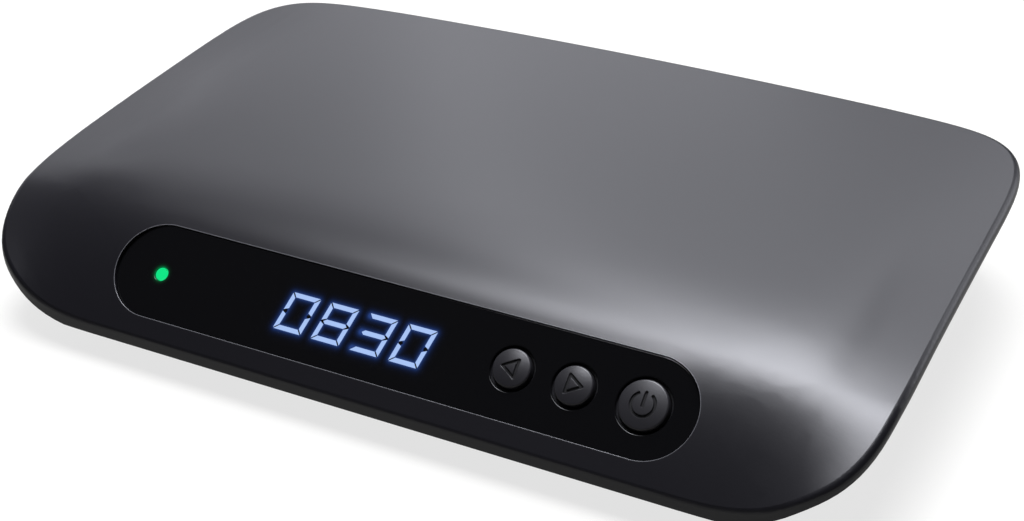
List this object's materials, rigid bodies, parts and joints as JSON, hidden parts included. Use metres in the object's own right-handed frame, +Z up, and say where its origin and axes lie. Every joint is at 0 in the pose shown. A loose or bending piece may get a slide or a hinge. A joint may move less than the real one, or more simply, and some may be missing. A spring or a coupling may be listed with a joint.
{
  "type": "satellite television receiver",
  "caption": "Low set-top receiver: a bent dark lid with a sloped glossy front window, digit display, round keys and rear sockets on a vented tray.",
  "frame": {"origin": "on the floor under the middle of the casing's bounding box", "axes": "+Z up; -Y out of the front with the window and keys; +Y out of the rear panel; +X to the right seen from the front"},
  "size_m": [0.22, 0.1449, 0.0343],
  "materials": {
    "cover_plastic": "dark grey satin moulding with a fine even grain",
    "tray_plastic": "black moulded plastic, fine spark-eroded grain",
    "panel_metal": "black painted sheet steel",
    "window_gloss": "smoked high-gloss acrylic",
    "key_plastic": "dark grey satin moulding",
    "switch_plastic": "black moulded switch housing",
    "plunger_plastic": "natural moulded plastic",
    "foot_rubber": "black rubber",
    "board_green": "green solder-masked glass fibre board",
    "display_block": "dark moulded display block",
    "light_clear": "clear moulded light guide",
    "receiver_dark": "dark infrared-pass resin",
    "screw_steel": "zinc plated steel",
    "can_steel": "tinned sheet steel",
    "socket_nickel": "nickel plated brass",
    "shell_steel": "plated sheet steel shell",
    "socket_plastic": "black moulded socket",
    "phono_plastic": "orange moulded socket with a plated sleeve",
    "reader_plastic": "black moulded card reader",
    "chip_epoxy": "black moulding resin",
    "sink_aluminium": "extruded aluminium, brushed",
    "capacitor_sleeve": "dark sleeve with a plain aluminium top",
    "header_plastic": "off-white moulded connector",
    "ribbon_sleeve": "grey ribbon insulation"
  },
  "bodies": {
    "case": {"top_cover": "cover_plastic", "bottom_case": "tray_plastic", "rear_panel": "panel_metal", "front_window": "window_gloss", "left_arrow_switch": "switch_plastic", "right_arrow_switch": "switch_plastic", "power_switch": "switch_plastic", "front_left_foot": "foot_rubber", "front_right_foot": "foot_rubber", "rear_left_foot": "foot_rubber", "rear_right_foot": "foot_rubber", "front_board": "board_green", "main_board": "board_green", "digit_display": "display_block", "status_led": "light_clear", "light_guide": "light_clear", "infrared_receiver": "receiver_dark", "front_board_screws": "screw_steel", "case_screws": "screw_steel", "main_board_screws": "screw_steel", "tuner_can": "can_steel", "lnb_input_socket": "socket_nickel", "lnb_loop_socket": "socket_nickel", "coax_nuts": "socket_nickel", "hdmi_socket": "shell_steel", "usb_socket": "shell_steel", "network_socket": "socket_plastic", "digital_audio_socket": "phono_plastic", "av_jack": "socket_plastic", "power_jack": "socket_plastic", "card_reader": "reader_plastic", "processor": "chip_epoxy", "memory_chips": "chip_epoxy", "heat_sink": "sink_aluminium", "capacitors": "capacitor_sleeve", "front_header": "header_plastic", "main_header": "header_plastic", "ribbon_cable": "ribbon_sleeve"},
    "left_arrow_key": {"left_arrow_button": "key_plastic", "left_arrow_plunger": "plunger_plastic"},
    "right_arrow_key": {"right_arrow_button": "key_plastic", "right_arrow_plunger": "plunger_plastic"},
    "power_key": {"power_button": "key_plastic", "power_plunger": "plunger_plastic"}
  },
  "joints": [
    {"name": "left_arrow_press", "type": "slide", "parent": "case", "child": "left_arrow_key", "axis": [0, 0.6626, -0.749], "range_m": [0, 0.0005], "stiffness_N_per_m": 1000},
    {"name": "right_arrow_press", "type": "slide", "parent": "case", "child": "right_arrow_key", "axis": [0, 0.6626, -0.749], "range_m": [0, 0.0005], "stiffness_N_per_m": 1000},
    {"name": "power_press", "type": "slide", "parent": "case", "child": "power_key", "axis": [0, 0.6626, -0.749], "range_m": [0, 0.0005], "stiffness_N_per_m": 1000}
  ]
}
